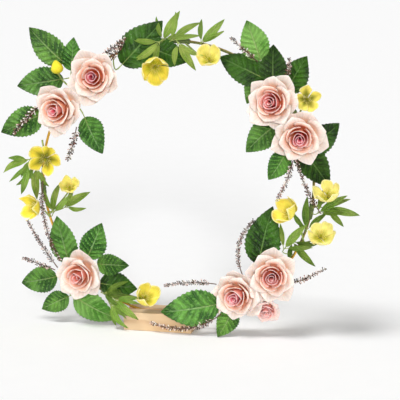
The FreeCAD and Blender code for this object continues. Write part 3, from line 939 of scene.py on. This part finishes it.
def hoop_angles(solid):
    """First and last angle, in radians, that a solid covers round the hoop."""
    points = solid[0] - np.array(HOOP_CENTRE)
    angles = np.unwrap(np.sort(np.arctan2(points[:, 2], points[:, 0])))
    gaps = np.diff(np.concatenate([angles, [angles[0] + math.tau]]))
    start = (int(gaps.argmax()) + 1) % len(angles)
    span = math.tau - gaps.max()
    return angles[start], angles[start] + span


def along_hoop(angle, outward, depth):
    """Points beside the wire: outward from its circle and in front of it, in mm."""
    radius = HOOP_RADIUS / MM + outward
    return np.stack([HOOP_CENTRE.x / MM + radius * np.cos(angle),
                     np.broadcast_to(HOOP_CENTRE.y / MM - depth, np.shape(angle)),
                     HOOP_CENTRE.z / MM + radius * np.sin(angle)], axis=-1)


def make_stem_bundles():
    """Three thin cut stems twisted together along each bunch."""
    rng = random.Random(17)
    surface = Surface()
    for solid in solids_of("stem_bundles"):
        first, last = hoop_angles(solid)
        middle_depth = -(solid[0][:, 1].mean()) / MM
        for strand in range(3):
            margin = rng.uniform(0, 0.05)
            angle = np.linspace(first + margin, last - margin, 40)
            twist = strand * math.tau / 3 + (angle - first) * 9
            path = along_hoop(angle, 0.75 * np.cos(twist), middle_depth + 0.55 * np.sin(twist))
            tint = rng.uniform(0.7, 1.15)
            surface.tube(path, np.linspace(0.62, 0.5, 40), (tint, tint, tint * 0.9), sides=8)
    surface.piece("stem_bundle_set", UNTURNED, "green_stem", "green_stem", node="stem_bundles")


def make_tape_wraps():
    """Tape wound in overlapping turns round the wire and the stems."""
    rng = random.Random(23)
    surface = Surface()
    for solid in solids_of("tape_wraps"):
        first, last = hoop_angles(solid)
        centre_depth = -(solid[0][:, 1].min() + solid[0][:, 1].max()) / 2 / MM
        half_depth = np.ptp(solid[0][:, 1]) / 2 / MM
        rings, sides, turns = 60, 20, 5
        angle, around = np.meshgrid(np.linspace(first, last, rings),
                                    np.arange(sides) * math.tau / sides, indexing="ij")
        share = (angle - first) / (last - first)
        winding = share * turns + around / math.tau
        step = 0.28 * (winding % 1.0) + 0.08 * np.sin(angle * 310 + rng.uniform(0, 6))
        size = 0.80 + 0.20 * (smoothstep(0, 0.06, share) * smoothstep(1.0, 0.94, share))
        outward = (half_depth * 0.68 + step) * size * np.cos(around)
        depth = centre_depth + (half_depth * 0.93 + step) * size * np.sin(around)
        surface.grid(along_hoop(angle, outward, depth), closed=True)
    surface.piece("tape_wrap_set", UNTURNED, "floral_tape", "floral_tape", node="tape_wraps",
                  thickness=0.3)


BUD_SHADES = [colour(44, 28, 20), colour(92, 60, 42), colour(150, 100, 92),
              colour(232, 206, 196), colour(255, 250, 240), colour(108, 98, 48)]
BUD_WEIGHTS = [5, 4, 2, 3, 3, 1]


def heather_bud(surface, rng, foot, aim, plump):
    """A tiny bell-shaped bud or floret on its own short stalk."""
    size = rng.uniform(0.5, 1.25) * plump
    shade = rng.choices(BUD_SHADES, BUD_WEIGHTS)[0]
    tip = foot + aim * size * 3.3
    neck = foot + aim * size * 1.5
    belly = foot + aim * size * 2.5
    surface.tube([foot, neck, belly, tip], [0.11, 0.20 * size, 0.50 * size, 0.22 * size],
                 shade, sides=5)


def make_heather(node, seed, plump):
    """Sprigs of a thin woody stem set with buds all round, smaller towards the tip."""
    rng = random.Random(seed)
    buds_per_mm = 2.8
    bare_share = 0.13
    stems, buds = Surface(), Surface()
    for solid in solids_of(node):
        path = sprig_path(solid, 60)
        wander = np.cumsum([[rng.uniform(-0.10, 0.10) for _ in range(3)] for _ in path], axis=0)
        path = path + wander - wander[0]
        stems.tube(path, np.linspace(0.60, 0.22, len(path)))
        length = np.linalg.norm(np.diff(path, axis=0), axis=1).sum()
        count = int(length * buds_per_mm)
        steps = np.gradient(path, axis=0)
        for number in range(count):
            share = bare_share + (1 - bare_share) * number / count
            place = share * (len(path) - 1)
            index = min(int(place), len(path) - 2)
            foot = path[index] + (place - index) * (path[index + 1] - path[index])
            step = unit(steps[index])
            across = unit(np.cross(step, [0.3, 1.0, 0.2]))
            other = np.cross(step, across)
            turn = number * GOLDEN_TURN + rng.uniform(-0.4, 0.4)
            aim = math.cos(turn) * across + math.sin(turn) * other
            aim = unit(aim + step * rng.uniform(0.2, 0.9))
            heather_bud(buds, rng, foot, aim * (1.1 - 0.5 * share), plump)
    stems.piece(f"{node}_stems", UNTURNED, "heather", "heather_twig", node=node)
    buds.piece(f"{node}_buds", UNTURNED, "heather", "small_parts")


# --- studio

def towards(azimuth, elevation):
    """Unit vector to a place in the sky. Degrees, with the azimuth taken from the front."""
    turn, rise = math.radians(azimuth), math.radians(elevation)
    return Vector((math.sin(turn) * math.cos(rise), -math.cos(turn) * math.cos(rise),
                   math.sin(rise)))


def sun(name, azimuth, elevation, strength, spread):
    """A broad, soft sun."""
    light = bpy.data.lights.new(name, "SUN")
    light.energy = strength
    light.angle = spread
    lamp = new_object(name, light)
    lamp.rotation_euler = towards(azimuth, elevation).to_track_quat("Z", "Y").to_euler()


def make_studio():
    """A white floor, a sky that is brightest at the horizon, and two soft suns."""
    world = bpy.data.worlds.new("studio")
    bpy.context.scene.world = world
    world.use_nodes = True
    height = add_node(world.node_tree, "ShaderNodeTexCoord", output="Generated").parts()[2]
    background = world.node_tree.nodes["Background"].inputs
    put(background["Strength"], height.step(0.03, 0.25, 1.0, 0.32))
    put(background["Color"], WHITE)
    sun("key", -40, 64, 1.80, 0.35)
    sun("front", 16, 17, 1.70, 0.22)
    bpy.ops.mesh.primitive_plane_add(size=80, location=(0, 0, -0.0002))
    floor = bpy.context.object
    floor.name = "floor"
    floor.data.materials.append(MATERIALS["floor"])
    bpy.context.scene.view_settings.view_transform = "Standard"


def make_camera():
    """A long lens, a little to the right of the hoop and above it."""
    azimuth, elevation = 13, 10
    distance = 1.30
    aim_right, aim_down = 0.027, 0.0205
    data = bpy.data.cameras.new("camera")
    data.sensor_width = 36
    data.lens = 108
    camera = new_object("camera", data)
    back = towards(azimuth, elevation)
    right = towards(azimuth + 90, 0)
    aim = HOOP_CENTRE + right * aim_right - back.cross(right) * aim_down
    camera.location = aim + back * distance
    camera.rotation_euler = (-back).to_track_quat("-Z", "Y").to_euler()
    bpy.context.scene.camera = camera


# --- the whole

# Each leaf's deep, fresh and vein colours, its veins to a side, how far they lean and how
# rough its shine is.
LEAF_LOOKS = {
    "rose_leaf": ((24, 88, 6), (140, 206, 92), (172, 216, 140), 8, 0.20, 0.25),
    "rose_leaf_dark": ((8, 46, 0), (80, 134, 36), (122, 166, 88), 8, 0.20, 0.25),
    "rose_leaf_fresh": ((82, 152, 40), (160, 214, 112), (198, 228, 152), 8, 0.20, 0.30),
    "rose_leaf_back": ((84, 116, 70), (104, 138, 84), (150, 176, 120), 8, 0.20, 0.55),
    "bract_leaf": ((130, 186, 46), (210, 240, 120), (236, 244, 176), 5, 0.35, 0.40),
    "bract_leaf_deep": ((76, 124, 28), (160, 202, 82), (200, 220, 136), 5, 0.35, 0.38),
    "bract_leaf_back": ((128, 158, 84), (176, 196, 116), (206, 218, 150), 5, 0.35, 0.55),
}

# Each stem's dark and light colours and its roughness.
STEM_LOOKS = {
    "green_stem": ((86, 92, 40), (134, 132, 66), 0.55),
    "pale_stem": ((118, 138, 62), (162, 176, 92), 0.48),
    "heather_twig": ((70, 46, 38), (112, 82, 64), 0.7),
}

# How strongly each kind of petal is streaked.
PETAL_STREAKS = {"rose_petal": 0.12, "hellebore_petal": 0.16}

# The leaves that are paler or darker than the others.
LEAF_FINISH = {
    **dict.fromkeys(("leaf_bottom_left_5", "leaf_top_right_2"), "rose_leaf_fresh"),
    **dict.fromkeys(("leaf_top_1", "leaf_top_2", "leaf_top_right_1", "leaf_top_right_3",
                     "leaf_top_right_4", "leaf_top_right_8", "leaf_top_right_9",
                     "leaf_bottom_right_1", "leaf_bottom_left_4"), "rose_leaf_dark"),
}

# How many of each spray's bracts are old and dark.
BRACT_DEEP_SHARES = {"bracts_top": 0.1, "bracts_left": 0.15, "bracts_right": 0.4,
                     "bracts_bottom": 0.3}

# The side and share of the usual turn of the lesser leaflets beside each bract.
BRACT_SIDES = {"bracts_top": (-1, 1), "bracts_left": (-1, 1), "bracts_right": (-1, 1),
               "bracts_bottom": (-0.8, 0.6, 1)}

# How open each flower is, how pale, how old and how far its face is tilted up.
HELLEBORE_LOOKS = {
    "hellebore_1": (0.15, 0.20, 0.0, 12),
    "hellebore_2": (0.40, 0.60, 0.0, 10),
    "hellebore_3": (0.50, 0.40, 0.8, 0),
    "hellebore_4": (0.15, 0.30, 0.0, 35),
    "hellebore_5": (0.35, 0.75, 0.0, 10),
    "hellebore_6": (0.30, 0.85, 0.0, 10),
    "hellebore_7": (0.30, 0.60, 0.1, 10),
    "hellebore_8": (0.45, 0.10, 0.3, 15),
    "hellebore_9": (0.50, 0.10, 0.9, 0),
    "hellebore_10": (0.20, 0.25, 0.1, 30),
}

# How coral, rather than pink, each rose's heart is, how strong its colour is, how far out
# it reaches, and the rings of petals.
ROSE_LOOKS = {
    "rose_1": (0.10, 1.00, 0.28, OPEN_ROSE),
    "rose_2": (0.20, 0.90, 0.26, OPEN_ROSE),
    "rose_3": (1.00, 0.75, 0.32, OPEN_ROSE),
    "rose_4": (0.15, 0.85, 0.34, FULL_ROSE),
    "rose_5": (0.60, 0.60, 0.42, FULL_ROSE),
    "rose_6": (0.50, 0.75, 0.42, FULL_ROSE),
    "rose_7": (0.05, 0.95, 0.34, FULL_ROSE),
}


def make_materials():
    for name, streak in PETAL_STREAKS.items():
        petal_material(name, streak)
    for name, look in LEAF_LOOKS.items():
        leaf_material(name, *look)
    for name, look in STEM_LOOKS.items():
        stem_material(name, *look)
    for make in (small_parts_material, tape_material, gold_material, pine_material,
                 floor_material):
        make()


def seeded(kind, first_seed):
    """The CAD nodes of one kind in order, each with a seed of its own."""
    names = sorted(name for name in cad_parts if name.startswith(kind))
    return enumerate(names, start=first_seed)


def main():
    make_materials()
    make_studio()
    make_camera()
    for node, material in (("gold_hoop", "gold_wire"), ("wood_stand", "pine")):
        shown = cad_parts[node]
        shown.data.materials.clear()
        shown.data.materials.append(MATERIALS[material])
    for seed, (node, look) in enumerate(ROSE_LOOKS.items(), start=100):
        coral, strength, flush, rings = look
        heart = mixed(BLUSH, mixed(HEART_PINK, HEART_CORAL, coral), strength)
        make_rose(node, seed, heart, flush, rings)
    make_rose("rose_small", 120, DUSKY_PINK, 1.4, FULL_ROSE[:4], spread=1.35)
    for seed, (node, look) in enumerate(HELLEBORE_LOOKS.items(), start=200):
        make_hellebore(node, seed, *look)
    make_bud("hellebore_bud", 220)
    for seed, node in seeded("leaf_", 300):
        make_leaf(node, seed, LEAF_FINISH.get(node, "rose_leaf"))
    for seed, node in seeded("bracts_", 400):
        make_bracts(node, seed)
    for seed, node in seeded("heather_", 500):
        make_heather(node, seed, 1.5 if node == "heather_top_left" else 1.2)
    make_stalks()
    make_stem_bundles()
    make_tape_wraps()


main()
